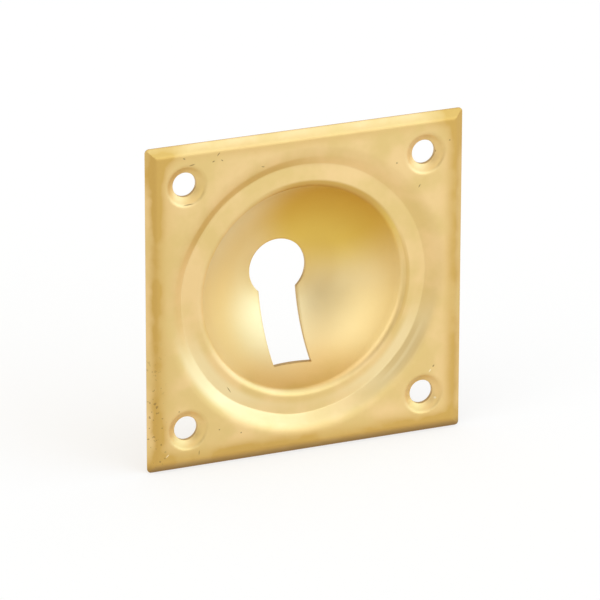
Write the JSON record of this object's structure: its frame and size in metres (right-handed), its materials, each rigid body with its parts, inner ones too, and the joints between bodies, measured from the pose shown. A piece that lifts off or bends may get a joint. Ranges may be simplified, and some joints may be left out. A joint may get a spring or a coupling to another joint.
{
  "type": "keyhole escutcheon",
  "caption": "Square pressed brass keyhole plate with a bevelled rim, a stepped round dish let in behind the face, a keyhole in the dish and dimpled screw holes in the corners.",
  "frame": {"origin": "centre of the plate on the mounting plane, which the back edge of the rim rests on", "axes": "front faces -Y, the keyhole's slot hangs down along -Z from its round eye, X runs across the plate; the dish goes to +Y, into the drawer front"},
  "size_m": [0.045, 0.0106, 0.045],
  "materials": {
    "brass": "raw satin brass with faint press marks and small pits"
  },
  "bodies": {
    "root": {"escutcheon_plate": "brass"}
  },
  "joints": []
}
